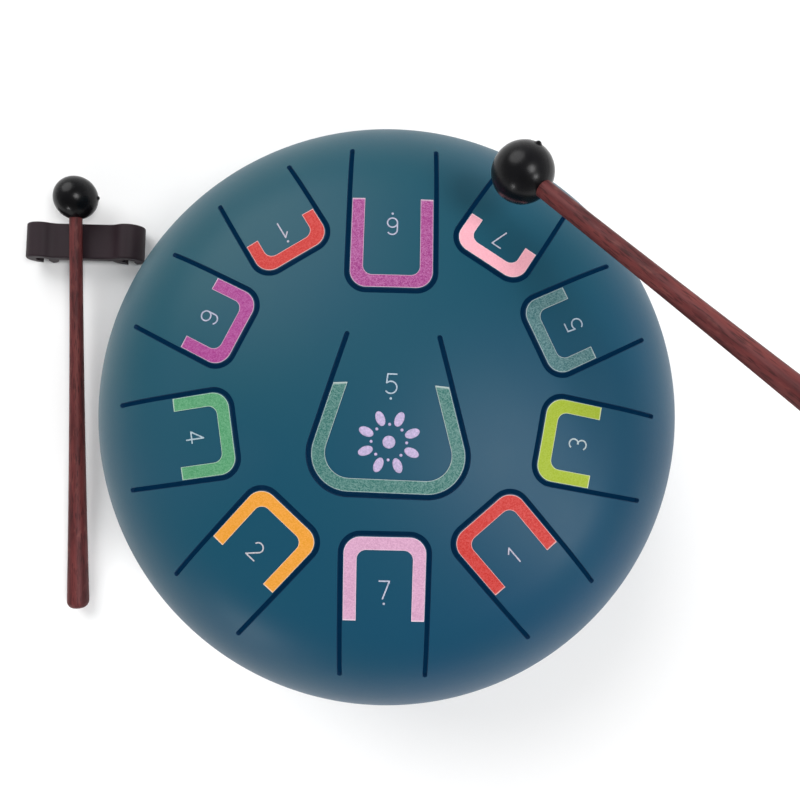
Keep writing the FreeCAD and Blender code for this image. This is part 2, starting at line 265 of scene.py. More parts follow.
mouldedRubber = {
    "skin": (1100.0, 3.0, 0.6), "skinHeight": 0.00004, "skinBump": 0.5, "bloom": linear(70, 70, 76),
    "bloomTint": 0.25, "smear": (120.0, 2.0), "smearGain": 1.4, "smearFloor": 0.5, "smearShare": 0.5,
    "smearRough": 0.15, "specular": 0.2,
}


def makeRubber(name, colour, polish):
    look = mouldedRubber
    material, sheet = newFinish(name)
    place = objectPlace(sheet)
    skin = sheet.noise(place, *look["skin"])
    smear = sheet.noise(place, *look["smear"])
    pale = tint(colour, look["bloom"], look["bloomTint"])
    worn = (smear * look["smearGain"] - look["smearFloor"]).clipped() * look["smearShare"]
    shade = sheet.blendColours(worn, colour, pale)
    rough = polish + (smear - 0.5) * look["smearRough"]
    closeFinish(sheet, {"Base Color": shade, "Roughness": rough, "Specular IOR Level": look["specular"],
                        "Normal": sheet.bump(skin, look["skinHeight"], look["skinBump"])})
    return material


# the wood's noises are stretched along the shaft
redWood = {
    "ringStretch": (28.0, 240.0, 240.0), "ring": (1.0, 5.0, 0.65),
    "poreStretch": (210.0, 1900.0, 1900.0), "pore": (1.0, 2.0, 0.5),
    "knockStretch": (170.0, 420.0, 420.0), "knock": (1.0, 3.0, 0.6),
    "tones": [(0.3, linear(56, 20, 22)), (0.7, linear(116, 56, 53)),
              (0.45, linear(82, 33, 34)), (0.55, linear(100, 44, 44))],
    "streak": linear(42, 16, 18), "streakShare": (0.54, 9.0, 0.65),
    "worn": linear(144, 86, 78), "wornShare": (0.58, 8.0, 0.25),
    "roughness": 0.42, "poreRough": 0.25, "specular": 0.25,
    "poreRelief": 0.7, "knockRelief": 0.3, "reliefHeight": 0.00006, "reliefBump": 0.6,
}


def makeWood():
    look = redWood
    material, sheet = newFinish("oiledRedWood")
    place = sheet.add("ShaderNodeAttribute", {"attribute_name": "woodPlace"}, {}, "Vector")
    ring = sheet.noise(sheet.stretched(place, look["ringStretch"]), *look["ring"])
    pore = sheet.noise(sheet.stretched(place, look["poreStretch"]), *look["pore"])
    knock = sheet.noise(sheet.stretched(place, look["knockStretch"]), *look["knock"])
    tone = sheet.add("ShaderNodeValToRGB", {"stops": look["tones"]}, {0: ring})
    tone = sheet.blendColours(pore.share(*look["streakShare"]), tone, look["streak"])
    tone = sheet.blendColours(knock.share(*look["wornShare"]), tone, look["worn"])
    relief = pore * look["poreRelief"] + knock * look["knockRelief"]
    rough = look["roughness"] + pore * look["poreRough"]
    closeFinish(sheet, {"Base Color": tone, "Roughness": rough, "Specular IOR Level": look["specular"],
                        "Normal": sheet.bump(relief, look["reliefHeight"], look["reliefBump"])})
    return material


darkPlastic = {
    "dark": linear(32, 20, 26), "pale": linear(44, 30, 37), "cloud": (90.0, 2.0), "cloudRough": 0.2,
    "grain": (2200.0, 2.0), "grainHeight": 0.00003, "grainBump": 0.5, "roughness": 0.55, "specular": 0.25,
}


def makeHolderPlastic():
    look = darkPlastic
    material, sheet = newFinish("matteHolderPlastic")
    place = objectPlace(sheet)
    grain = sheet.noise(place, *look["grain"])
    cloud = sheet.noise(place, *look["cloud"])
    shade = sheet.blendColours(cloud, look["dark"], look["pale"])
    rough = look["roughness"] + (cloud - 0.5) * look["cloudRough"]
    closeFinish(sheet, {"Base Color": shade, "Roughness": rough, "Specular IOR Level": look["specular"],
                        "Normal": sheet.bump(grain, look["grainHeight"], look["grainBump"])})
    return material


paint = makeDrumPaint()
# both navy paints carry a painted glow: emission in place of the light that enters by the slits
glowingSlitPaint = makeGlowingNavyPaint("navySlitEdge", linear(3, 28, 50), linear(8, 40, 68), 0.7)
glowingInsidePaint = makeGlowingNavyPaint("navyInside", linear(2, 33, 56), linear(5, 40, 68), 1.0)
sheetPaints = [paint, glowingSlitPaint, glowingInsidePaint]
headRubber = makeRubber("blackHeadRubber", linear(7, 7, 9), 0.26)
footRubber = makeRubber("blackFootRubber", linear(24, 24, 26), 0.6)
wood = makeWood()
holderPlastic = makeHolderPlastic()
rosetteInk = makeInk("lilacInk", linear(214, 187, 226))
print("finishes made")


# small mesh tools
def addPiece(name, mesh, materials):
    piece = bpy.data.objects.new(name, mesh)
    bpy.context.scene.collection.objects.link(piece)
    for material in materials:
        mesh.materials.append(material)
    return piece


joinGap = 1e-7


def faceOutward(mesh):
    work = bmesh.new()
    work.from_mesh(mesh)
    bmesh.ops.remove_doubles(work, verts=work.verts, dist=joinGap)
    bmesh.ops.recalc_face_normals(work, faces=work.faces)
    work.to_mesh(mesh)
    work.free()


def smoothBy(mesh, degrees):
    for polygon in mesh.polygons:
        polygon.use_smooth = True
    mesh.set_sharp_from_angle(angle=math.radians(degrees))


def spun(name, outline, around):
    # a shape turned about the X axis, from (station, radius) pairs that start and end on the axis
    points = [(outline[0][0], 0.0, 0.0)]
    faces = []
    rings = outline[1:-1]
    for station, radius in rings:
        for k in range(around):
            turn = 2 * math.pi * k / around
            points.append((station, radius * math.cos(turn), radius * math.sin(turn)))
    points.append((outline[-1][0], 0.0, 0.0))
    last = len(points) - 1
    for k in range(around):
        after = (k + 1) % around
        faces.append((0, 1 + after, 1 + k))
        for row in range(len(rings) - 1):
            a = 1 + row * around
            b = a + around
            faces.append((a + k, a + after, b + after, b + k))
        a = 1 + (len(rings) - 1) * around
        faces.append((last, a + k, a + after))
    mesh = bpy.data.meshes.new(name)
    mesh.from_pydata(points, [], faces)
    faceOutward(mesh)
    return mesh


def grow(name, inputs, build, material):
    # makes a node tree with named inputs, runs it once and returns a piece with the plain mesh
    tree = bpy.data.node_groups.new(name + "Tree", "GeometryNodeTree")
    kinds = {int: "NodeSocketInt", float: "NodeSocketFloat"}
    for label, value in inputs.items():
        socket = tree.interface.new_socket(name=label, in_out="INPUT", socket_type=kinds[type(value)])
        socket.default_value = value
    tree.interface.new_socket(name="finish", in_out="INPUT", socket_type="NodeSocketMaterial")
    tree.interface.new_socket(name="Geometry", in_out="OUTPUT", socket_type="NodeSocketGeometry")
    sheet = NodeSheet(tree)
    group = sheet.add("NodeGroupInput")
    wires = {label: group.output(label) for label in inputs}
    shape = build(sheet, wires)
    shape = sheet.add("GeometryNodeRealizeInstances", {}, {0: shape})
    shape = sheet.add("GeometryNodeSetMaterial", {}, {0: shape, "Material": group.output("finish")})
    sheet.add("NodeGroupOutput", {}, {0: shape})
    piece = addPiece(name, bpy.data.meshes.new(name), [])
    modifier = piece.modifiers.new("grow", "NODES")
    modifier.node_group = tree
    for item in tree.interface.items_tree:
        if item.in_out == "INPUT":
            modifier[item.identifier] = material if item.name == "finish" else inputs[item.name]
    bpy.context.view_layer.update()
    depsgraph = bpy.context.evaluated_depsgraph_get()
    mesh = bpy.data.meshes.new_from_object(piece.evaluated_get(depsgraph))
    piece.modifiers.clear()
    mesh.materials.clear()
    mesh.materials.append(material)
    mesh.polygons.foreach_set("material_index", [0] * len(mesh.polygons))
    piece.data = mesh
    return piece


# the pressing: a round crown and a knuckle that turns down to the seam
bowl = {
    "seamRadius": 0.1, "knuckleRadius": 0.045, "crownRadius": 0.23, "sheet": 0.0015, "holeRadius": 0.025,
    "topBase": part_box("upper_bowl")[0][2], "bottomBase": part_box("lower_bowl")[1][2],
    "meshStep": 0.0021, "ringShift": 0.618, "edgeGap": 0.42, "rimCount": 220,
}
lean = math.asin((bowl["seamRadius"] - bowl["knuckleRadius"]) / (bowl["crownRadius"] - bowl["knuckleRadius"]))
crownRun = bowl["crownRadius"] * lean
fullRun = crownRun + bowl["knuckleRadius"] * (0.5 * math.pi - lean)
crownDrop = (bowl["crownRadius"] - bowl["knuckleRadius"]) * math.cos(lean)


def pressing(run, depth):
    # radius, height above the rim and slope at a distance along the section from the pole
    if run < crownRun:
        slope = run / bowl["crownRadius"]
        bend = bowl["crownRadius"] - depth
        return bend * math.sin(slope), bend * math.cos(slope) - crownDrop, slope
    slope = lean + (run - crownRun) / bowl["knuckleRadius"]
    bend = bowl["knuckleRadius"] - depth
    return bowl["seamRadius"] - bowl["knuckleRadius"] + bend * math.sin(slope), bend * math.cos(slope), slope


def unroll(point):
    # plan point to the flattened sheet, where distance from the middle is the run along the section
    radius = math.hypot(point[0], point[1])
    if radius == 0.0:
        return 0.0, 0.0
    if radius < bowl["crownRadius"] * math.sin(lean):
        run = bowl["crownRadius"] * math.asin(radius / bowl["crownRadius"])
    else:
        out = (radius - bowl["seamRadius"] + bowl["knuckleRadius"]) / bowl["knuckleRadius"]
        run = crownRun + bowl["knuckleRadius"] * (math.asin(min(out, 1.0)) - lean)
    return point[0] * run / radius, point[1] * run / radius


def lift(flat, depth):
    # flattened sheet back to the upper bowl, with the outward normal
    run = math.hypot(flat[0], flat[1])
    radius, height, slope = pressing(run, depth)
    east, north = (flat[0] / run, flat[1] / run) if run > 0.0 else (1.0, 0.0)
    place = Vector((radius * east, radius * north, bowl["topBase"] + height))
    return place, Vector((math.sin(slope) * east, math.sin(slope) * north, math.cos(slope)))


def bowlWall(sheet, wires):
    # both faces of the lower bowl's sheet as one closed loop of rings, turned about the axis
    rings = wires["rings"]
    around = wires["around"]
    crown = wires["crownRadius"]
    knuckle = wires["knuckleRadius"]
    seamReach = wires["seamRadius"] - knuckle
    grid = sheet.add("GeometryNodeMeshGrid", {}, {
        "Size X": 1.0, "Size Y": 1.0, "Vertices X": rings * 2.0 + 1.0, "Vertices Y": around + 1.0})
    index = sheet.add("GeometryNodeInputIndex")
    # a small push keeps the division from falling short of a whole row
    row = index.maths("FLOOR", index / (around + 1.0) + 0.0001)
    turn = (index - row * (around + 1.0)) / around * (2.0 * math.pi)
    row = row % (rings * 2.0)
    inside = row > rings - 0.5
    step = row + inside * (rings * 2.0 - 1.0 - row * 2.0)
    tilt = row.maths("ARCSINE", seamReach / (crown - knuckle))
    crownPart = crown * tilt
    wholePart = crownPart + knuckle * (0.5 * math.pi - tilt)
    holePart = crown * row.maths("ARCSINE", wires["holeRadius"] / crown)
    run = holePart + (wholePart - holePart) * step / (rings - 1.0)
    onKnuckle = run > crownPart
    bend = crown + onKnuckle * (knuckle - crown)
    slope = run / crown * (1.0 - onKnuckle) + onKnuckle * (tilt + (run - crownPart) / knuckle)
    drop = (crown - knuckle) * row.maths("COSINE", tilt)
    reach = bend - inside * wires["sheet"]
    out = onKnuckle * seamReach + reach * row.maths("SINE", slope)
    up = wires["base"] - reach * row.maths("COSINE", slope) + (1.0 - onKnuckle) * drop
    place = sheet.add("ShaderNodeCombineXYZ", {}, {
        0: out * row.maths("COSINE", turn), 1: out * row.maths("SINE", turn), 2: up})
    shape = sheet.add("GeometryNodeSetPosition", {}, {0: grid, "Position": place})
    return sheet.add("GeometryNodeMergeByDistance", {}, {0: shape, "Distance": 1e-6})


def tintInside(mesh):
    # faces that look into the drum take the inside paint, with its painted glow
    mesh.materials.append(glowingInsidePaint)
    for polygon in mesh.polygons:
        inward = Vector((-polygon.center.x, -polygon.center.y, bowl["bottomBase"] - polygon.center.z))
        polygon.material_index = 1 if polygon.normal.dot(inward) > 0.0 else 0


lowerBowl = grow("lowerBowlShell", {
    "rings": 56, "around": 200, "seamRadius": bowl["seamRadius"], "knuckleRadius": bowl["knuckleRadius"],
    "crownRadius": bowl["crownRadius"], "sheet": bowl["sheet"], "base": bowl["bottomBase"],
    "holeRadius": bowl["holeRadius"]}, bowlWall, paint)
faceOutward(lowerBowl.data)
smoothBy(lowerBowl.data, 40)
tintInside(lowerBowl.data)
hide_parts("lower_bowl")
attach(lowerBowl, "drum")
print("lower bowl made")

weld = {"radius": 0.0998, "bead": 0.0006, "ripple": 0.09, "ripples": 300, "stations": 4, "height": 0.058}


def weldBead(sheet, wires):
    # a bead along the seam whose thickness rises and falls with each ripple
    count = wires["ripples"] * wires["stations"]
    ring = sheet.add("GeometryNodeCurvePrimitiveCircle", {}, {"Resolution": count, "Radius": wires["radius"]})
    index = sheet.add("GeometryNodeInputIndex")
    wave = index.maths("SINE", index / wires["stations"] * (2.0 * math.pi))
    thickness = 1.0 - (wave + 1.0) * 0.5 * wires["ripple"]
    ring = sheet.add("GeometryNodeSetCurveRadius", {}, {0: ring, "Radius": thickness})
    up = sheet.add("ShaderNodeCombineXYZ", {}, {2: wires["height"]})
    ring = sheet.add("GeometryNodeSetPosition", {}, {0: ring, "Offset": up})
    section = sheet.add("GeometryNodeCurvePrimitiveCircle", {}, {"Resolution": 10, "Radius": wires["bead"]})
    radius = sheet.add("GeometryNodeInputRadius")
    sockets = {"Curve": ring, "Profile Curve": section, "Scale": radius}
    return sheet.add("GeometryNodeCurveToMesh", {}, sockets)


seam = grow("seamBead", weld, weldBead, paint)
faceOutward(seam.data)
smoothBy(seam.data, 60)
tintInside(seam.data)
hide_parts("seam_weld")
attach(seam, "drum")
print("seam made")

# upper bowl and tongues
slits = {"width": 0.0014, "endRadius": 0.084, "corner": 0.006, "endRound": 0.0008,
         "endShares": (0.04, 0.15, 0.34, 0.62, 0.95), "step": 0.0009, "cornerFineness": 1.6, "rootCount": 14,
         "bevel": 0.00008, "bevelDepth": 0.00012, "blendRun": 0.004, "armEnd": 0.064, "innerRound": 0.0028}
centreTongue = {"bearing": 88.9, "aside": -0.0009, "tip": -0.0266, "root": 0.0214, "tipHalf": 0.0275,
                "rootHalf": 0.0135, "corner": 0.012, "armEnd": 0.0063, "innerRound": 0.0074}
# each ring tongue's bearing in degrees, then in millimetres how far its axis passes beside the centre,
# the distance of its tip and its half width
ringTongues = {
    "low_6": (90.0, -0.2, 34.3, 13.4), "low_7": (-90.0, 0.3, 37.6, 13.15), "1": (-48.0, -0.1, 41.4, 13.2),
    "2": (-132.0, 1.0, 41.4, 13.25), "3": (-9.2, -0.8, 46.0, 13.4), "4": (-170.8, 1.2, 45.7, 13.3),
    "5": (26.2, -1.3, 48.1, 12.95), "6": (153.8, 1.0, 47.9, 12.9), "7": (57.8, -0.5, 51.8, 12.7),
    "high_1": (122.2, 0.2, 51.9, 12.7),
}
tongues = {"low_5": centreTongue}
for name, (bearing, aside, tip, half) in ringTongues.items():
    half *= 0.001
    tongues[name] = {"bearing": bearing, "aside": aside * 0.001, "tip": tip * 0.001, "tipHalf": half,
                     "root": math.sqrt(slits["endRadius"] ** 2 - half ** 2), "rootHalf": half,
                     "corner": slits["corner"], "armEnd": slits["armEnd"], "innerRound": slits["innerRound"]}


def turned(u, v, bearing):
    turn = math.radians(bearing)
    return u * math.cos(turn) - v * math.sin(turn), u * math.sin(turn) + v * math.cos(turn)


def onTongue(tongue, u, v):
    return turned(u, v + tongue["aside"], tongue["bearing"])


def slitPath(tongue, end):
    # points along the slit's middle, each with the direction away from the tongue and its distance to the end
    step = slits["step"]
    run = tongue["root"] - tongue["tip"]
    narrow = tongue["rootHalf"] - tongue["tipHalf"]
    length = math.hypot(run, narrow)
    du, dv = run / length, narrow / length
    inside = math.acos(-dv)
    reach = tongue["corner"] / math.tan(0.5 * inside)
    far = tongue["corner"] / math.sin(0.5 * inside)
    aim = 0.5 * inside - 0.5 * math.pi
    centre = (tongue["tip"] + far * math.cos(aim), tongue["tipHalf"] + far * math.sin(aim))
    endAlong = (end - tongue["tip"]) / du
    count = max(4, round((endAlong - reach) / step))
    stations = [endAlong + (reach - endAlong) * k / count for k in range(count)]
    stations[1:1] = [endAlong - slits["endRound"] * share for share in slits["endShares"]]
    half = [((tongue["tip"] + du * along, tongue["tipHalf"] + dv * along), (-dv, du)) for along in stations]
    first = math.atan2(du, -dv)
    count = max(6, round(tongue["corner"] * (math.pi - first) / step * slits["cornerFineness"]))
    for k in range(count + 1):
        turn = first + (math.pi - first) * k / count
        away = (math.cos(turn), math.sin(turn))
        half.append(((centre[0] + tongue["corner"] * away[0], centre[1] + tongue["corner"] * away[1]), away))
    flat = tongue["tipHalf"] - reach
    count = max(3, round(flat / step))
    for k in range(1, count):
        half.append(((tongue["tip"], flat * (1 - k / count)), (-1.0, 0.0)))
    mirrored = [((u, -v), (nu, -nv)) for (u, v), (nu, nv) in reversed(half)]
    whole = half + [((tongue["tip"], 0.0), (-1.0, 0.0))] + mirrored
    return [(point, away, abs(point[0] - end)) for point, away in whole]


def shifted(tongue, path, move):
    return [onTongue(tongue, p[0] + n[0] * move(left), p[1] + n[1] * move(left)) for p, n, left in path]


def slitSide(tongue, side, inset):
    # one edge of the slit, which ends in a half round at the root, closed by a line across the root
    def move(left):
        short = 1.0 - min(1.0, left / slits["endRound"])
        return side * math.sqrt(1.0 - short ** 2) * (0.5 * slits["width"] + inset)

    edge = shifted(tongue, slitPath(tongue, tongue["root"]), move)
    first, last = edge[0], edge[-1]
    count = slits["rootCount"]
    for k in range(1, count):
        edge.append((last[0] + (first[0] - last[0]) * k / count, last[1] + (first[1] - last[1]) * k / count))
    return edge


def inLoop(points, loop):
    x, y = points[:, 0][:, None], points[:, 1][:, None]
    ax, ay = loop[:, 0][None], loop[:, 1][None]
    bx, by = np.roll(loop[:, 0], -1)[None], np.roll(loop[:, 1], -1)[None]
    crosses = ((ay > y) != (by > y)) & (x < (bx - ax) * (y - ay) / np.where(by == ay, 1e-12, by - ay) + ax)
    return crosses.sum(1) % 2 == 1


def spreadInside(border, flatLoops, holes):
    # evenly spread points on the flattened sheet, clear of its edges
    step = bowl["meshStep"]
    spread = [(0.0, 0.0)]
    for ring in range(1, int(fullRun / step) + 1):
        run = ring * step
        count = max(6, round(2 * math.pi * pressing(run, 0.0)[0] / step))
        for k in range(count):
            turn = 2 * math.pi * (k + bowl["ringShift"] * ring) / count
            spread.append((run * math.cos(turn), run * math.sin(turn)))
    spread = np.array(spread)
    keep = np.hypot(spread[:, 0], spread[:, 1]) < fullRun - 0.5 * step
    if holes:
        for loop in flatLoops[1:]:
            keep &= ~inLoop(spread, loop)
    else:
        keep &= inLoop(spread, flatLoops[0])
    tree = KDTree(len(border))
    for k, p in enumerate(border):
        tree.insert((p[0], p[1], 0.0), k)
    tree.balance()
    clear = bowl["edgeGap"] * step
    return np.array([p for p in spread[keep] if tree.find((p[0], p[1], 0.0))[2] > clear])


def fillLoops(border, starts, holes):
    # points of the flattened sheet, the triangles between its loops and each border point's new number
    flatLoops = [border[a:b] for a, b in zip(starts[:-1], starts[1:])]
    points = np.vstack([border, spreadInside(border, flatLoops, holes)])
    edges = [(a + k, a + (k + 1) % (b - a)) for a, b in zip(starts[:-1], starts[1:]) for k in range(b - a)]
    vectors = [Vector(p) for p in points]
    flat, _, faces, origin, _, _ = delaunay_2d_cdt(vectors, edges, [], 0, joinGap, True)
    flat = np.array([tuple(p) for p in flat])
    middle = np.array([flat[list(face)].mean(0) for face in faces])
    good = inLoop(middle, flatLoops[0])
    for loop in flatLoops[1:]:
        good &= ~inLoop(middle, loop)
    place = {source: k for k, sources in enumerate(origin) for source in sources}
    wound = []
    for (a, b, c), ok in zip(faces, good):
        if ok:
            one, other = flat[b] - flat[a], flat[c] - flat[a]
            wound.append((a, c, b) if one[0] * other[1] < one[1] * other[0] else (a, b, c))
    return flat, wound, place


def shadeLayers(mesh, normals, faceCount):
    # outer and inner faces take the pressing's normals, and edges where two kinds of face meet are sharp
    sides = {}
    custom = []
    for polygon in mesh.polygons:
        layer = min(polygon.index // faceCount, 2)
        for pair in polygon.edge_keys:
            sides.setdefault(pair, set()).add(layer)
        for corner in polygon.vertices:
            if layer == 0:
                custom.append(tuple(normals[corner]))
            elif layer == 1:
                custom.append(tuple(-normals[corner - len(normals)]))
            else:
                custom.append(tuple(polygon.normal))
    sharp = mesh.attributes.new("sharp_edge", "BOOLEAN", "EDGE")
    sharp.data.foreach_set("value", [len(sides[edge.key]) > 1 for edge in mesh.edges])
    mesh.normals_split_custom_set(custom)


def steelSheet(name, loops, trueLoops, holes):
    # a cut sheet, filled with triangles while flat, then lifted as a closed wall with eased slit edges
    starts = np.cumsum([0] + [len(loop) for loop in loops])
    border = np.array([unroll(p) for loop in loops for p in loop])
    trueBorder = np.array([unroll(p) for loop in trueLoops for p in loop])
    flat, faces, place = fillLoops(border, starts, holes)
    under = flat.copy()
    for source, point in enumerate(trueBorder):
        if source in place:
            under[place[source]] = point
    order = sorted({k for face in faces for k in face})
    number = {k: i for i, k in enumerate(order)}
    top = [lift(flat[k], 0.0) for k in order]
    low = [lift(under[k], bowl["sheet"]) for k in order]
    vertices = [p for p, _ in top + low]
    size = len(order)
    polygons = [(number[a], number[b], number[c]) for a, b, c in faces]
    faceCount = len(polygons)
    polygons += [(size + a, size + c, size + b) for a, b, c in polygons]
    # under faces take the inside paint and slit walls the slit paint, both with their painted glow; the rim
    # wall takes the drum paint
    finishIndex = [0] * faceCount + [2] * faceCount
    for which, (a, b) in enumerate(zip(starts[:-1], starts[1:])):
        ring = [number[place[a + k]] for k in range(b - a)]
        lip = list(ring)
        for k in range(b - a):
            if math.dist(trueBorder[a + k], border[a + k]) > joinGap:
                lip[k] = len(vertices)
                vertices.append(lift(trueBorder[a + k], slits["bevelDepth"])[0])
        for k in range(b - a):
            n = (k + 1) % (b - a)
            eased = (ring[n], ring[k], lip[k], lip[n])
            cut = (lip[n], lip[k], size + ring[k], size + ring[n])
            for wall in (eased, cut):
                wall = list(dict.fromkeys(wall))
                if len(wall) > 2:
                    polygons.append(wall[::-1] if holes and which else wall)
                    finishIndex.append(0 if holes and which == 0 else 1)
    mesh = bpy.data.meshes.new(name)
    mesh.from_pydata(vertices, [], polygons)
    mesh.polygons.foreach_set("material_index", finishIndex)
    mesh.polygons.foreach_set("use_smooth", [True] * len(mesh.polygons))
    piece = addPiece(name, mesh, sheetPaints)
    shadeLayers(mesh, [n for _, n in top], faceCount)
    return piece


rimLoop = [turned(bowl["seamRadius"], 0.0, 360.0 * k / bowl["rimCount"]) for k in range(bowl["rimCount"])]
windows = [slitSide(tongue, 1.0, slits["bevel"]) for tongue in tongues.values()]
trueWindows = [slitSide(tongue, 1.0, 0.0) for tongue in tongues.values()]
upperBowl = steelSheet("upperBowlShell", [rimLoop] + windows, [rimLoop] + trueWindows, True)
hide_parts("upper_bowl")
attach(upperBowl, "drum")
print("upper bowl made", len(upperBowl.data.polygons))

for name, tongue in tongues.items():
    outline = slitSide(tongue, -1.0, slits["bevel"])
    blade = steelSheet("blade_" + name, [outline], [slitSide(tongue, -1.0, 0.0)], False)
    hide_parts("tongue_" + name)
    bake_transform(blade)
print("tongues made")

# stickers: each shade comes with the strength of its glitter
film = {"arm": 0.00385, "margin": 0.0003, "thickness": 0.0002, "sink": 0.00002, "trim": 0.0002,
        "stations": 120}
filmShades = {
    "low_5": ((44, 114, 106), 0.8), "low_6": ((160, 48, 134), 0.8), "low_7": ((208, 156, 188), 0.5),
    "1": ((194, 40, 32), 0.35), "2": ((226, 150, 40), 0.3), "3": ((152, 172, 30), 0.25),
    "4": ((74, 150, 102), 0.5), "5": ((58, 114, 118), 0.8), "6": ((160, 50, 134), 0.5),
    "7": ((240, 170, 184), 0.25), "high_1": ((192, 44, 38), 0.3),
}
figureShade = {"towards": linear(212, 222, 238), "share": 0.75}


def resampled(points, count):
    # the same line with evenly shared points
    lengths = np.cumsum([0.0] + [math.dist(a, b) for a, b in zip(points, points[1:])])
    at = np.linspace(0.0, lengths[-1], count)
    xs = np.interp(at, lengths, [p[0] for p in points])
    ys = np.interp(at, lengths, [p[1] for p in points])
    return list(zip(xs, ys))


def stickerBand(tongue):
    # a U of film along the tongue's tip: rows of points from its outer to its inner edge
    outerMove = -0.5 * slits["width"] - film["margin"]
    outer = shifted(tongue, slitPath(tongue, tongue["armEnd"]), lambda left: outerMove)
    squeeze = outerMove - film["arm"]
    slant = (tongue["rootHalf"] - tongue["tipHalf"]) / (tongue["root"] - tongue["tip"])
    side = squeeze * math.hypot(1.0, slant)
    hollow = dict(tongue)
    hollow["tip"] = tongue["tip"] - squeeze
    hollow["tipHalf"] = tongue["tipHalf"] + side - slant * squeeze
    hollow["rootHalf"] = tongue["rootHalf"] + side
    hollow["corner"] = tongue["innerRound"]
    inner = shifted(hollow, slitPath(hollow, tongue["armEnd"]), lambda left: 0.0)
    pairs = list(zip(resampled(outer, film["stations"]), resampled(inner, film["stations"])))
    edge = film["trim"] / film["arm"]
    stops = [0.0, edge, 0.25, 0.5, 0.75, 1.0 - edge, 1.0]
    return [[(a[0] + (b[0] - a[0]) * t, a[1] + (b[1] - a[1]) * t) for a, b in pairs] for t in stops]


def layFilm(name, rows, material):
    count = len(rows[0])
    final = len(rows) - 1
    vertices, polygons, trims = [], [], []
    for level in (-film["thickness"], film["sink"]):
        for r, row in enumerate(rows):
            for c, p in enumerate(row):
                vertices.append(lift(unroll(p), level)[0])
                trims.append(1.0 if r in (0, final) or c in (0, count - 1) else 0.0)
    low = len(rows) * count
    for r in range(final):
        for c in range(count - 1):
            a = r * count + c
            polygons.append((a, a + 1, a + count + 1, a + count))
            polygons.append((low + a, low + a + count, low + a + count + 1, low + a + 1))
    rim = list(range(count))
    rim += [r * count + count - 1 for r in range(1, len(rows))]
    rim += [final * count + c for c in range(count - 2, -1, -1)]
    rim += [r * count for r in range(final - 1, 0, -1)]
    for k, a in enumerate(rim):
        b = rim[(k + 1) % len(rim)]
        polygons.append((b, a, low + a, low + b))
    mesh = bpy.data.meshes.new(name)
    mesh.from_pydata(vertices, [], polygons)
    trim = mesh.attributes.new("trim", "FLOAT", "POINT")
    trim.data.foreach_set("value", trims)
    faceOutward(mesh)
    smoothBy(mesh, 35)
    return addPiece(name, mesh, [material])


for name, tongue in tongues.items():
    shade, grain = filmShades[name]
    filmFinish = makeFilm("film_" + name, linear(*shade), grain)
    sticker = layFilm("edgeSticker_" + name, stickerBand(tongue), filmFinish)
    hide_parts("sticker_" + name)
    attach(sticker, "tongue_" + name)
    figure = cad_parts["figure_" + name]
    ink = makeInk("figureInk_" + name, tint(linear(*shade), figureShade["towards"], figureShade["share"]))
    for place in figure.material_slots:
        place.material = ink
print("stickers laid")

# rosette: petals round a hub, with a dot between each two
rosetteAlong = -0.0108
rosetteX, rosetteY = onTongue(centreTongue, rosetteAlong, 0.0)
rosette = {"petals": 8, "reach": 0.0073, "petalLong": 0.0046, "petalWide": 0.0027, "hub": 0.0038,
           "dot": 0.0009, "dotReach": 0.0052, "rise": 0.00012, "centreX": rosetteX, "centreY": rosetteY,
           "tilt": math.radians(centreTongue["bearing"] - 90.0), "crownRadius": bowl["crownRadius"],
           "crownFloor": bowl["topBase"] - crownDrop}


def rosettePetals(sheet, wires):
    # flattened beads set round a circle, then dropped on the crown
    def bead(longWay, wideWay, height):
        ball = sheet.add("GeometryNodeMeshUVSphere", {}, {"Segments": 20, "Rings": 8, "Radius": 1.0})
        size = sheet.add("ShaderNodeCombineXYZ", {}, {0: longWay * 0.5, 1: wideWay * 0.5, 2: height})
        return sheet.add("GeometryNodeTransform", {}, {0: ball, "Scale": size})

    def circled(shape, reach, halfSteps):
        ring = sheet.add("GeometryNodeMeshCircle", {}, {"Vertices": wires["petals"], "Radius": reach})
        index = sheet.add("GeometryNodeInputIndex")
        turn = sheet.add("ShaderNodeCombineXYZ", {}, {2: index / wires["petals"] * (2.0 * math.pi)})
        spread = sheet.add("GeometryNodeInstanceOnPoints", {}, {0: ring, "Instance": shape, "Rotation": turn})
        bearing = wires["tilt"] + halfSteps * math.pi / wires["petals"]
        start = sheet.add("ShaderNodeCombineXYZ", {}, {2: bearing})
        return sheet.add("GeometryNodeTransform", {}, {0: spread, "Rotation": start})

    petals = circled(bead(wires["petalLong"], wires["petalWide"], wires["rise"]), wires["reach"], 1.0)
    dots = circled(bead(wires["dot"], wires["dot"], wires["rise"]), wires["dotReach"], 0.0)
    hub = bead(wires["hub"], wires["hub"], wires["rise"])
    join = sheet.add("GeometryNodeJoinGeometry")
    for part in (petals, dots, hub):
        sheet.tree.links.new(part.socket, join.socket.node.inputs[0])
    flat = sheet.add("GeometryNodeRealizeInstances", {}, {0: join})
    axes = sheet.add("ShaderNodeSeparateXYZ", {}, {0: sheet.add("GeometryNodeInputPosition")}, "X")
    east = axes + wires["centreX"]
    north = axes.output("Y") + wires["centreY"]
    reach = (wires["crownRadius"] ** 2.0 - east ** 2.0 - north ** 2.0) ** 0.5
    up = reach + wires["crownFloor"] + axes.output("Z")
    place = sheet.add("ShaderNodeCombineXYZ", {}, {0: east, 1: north, 2: up})
    return sheet.add("GeometryNodeSetPosition", {}, {0: flat, "Position": place})


mark = grow("petalRosette", rosette, rosettePetals, rosetteInk)
faceOutward(mark.data)
smoothBy(mark.data, 180)
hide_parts("rosette")
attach(mark, "tongue_low_5")
print("rosette set")

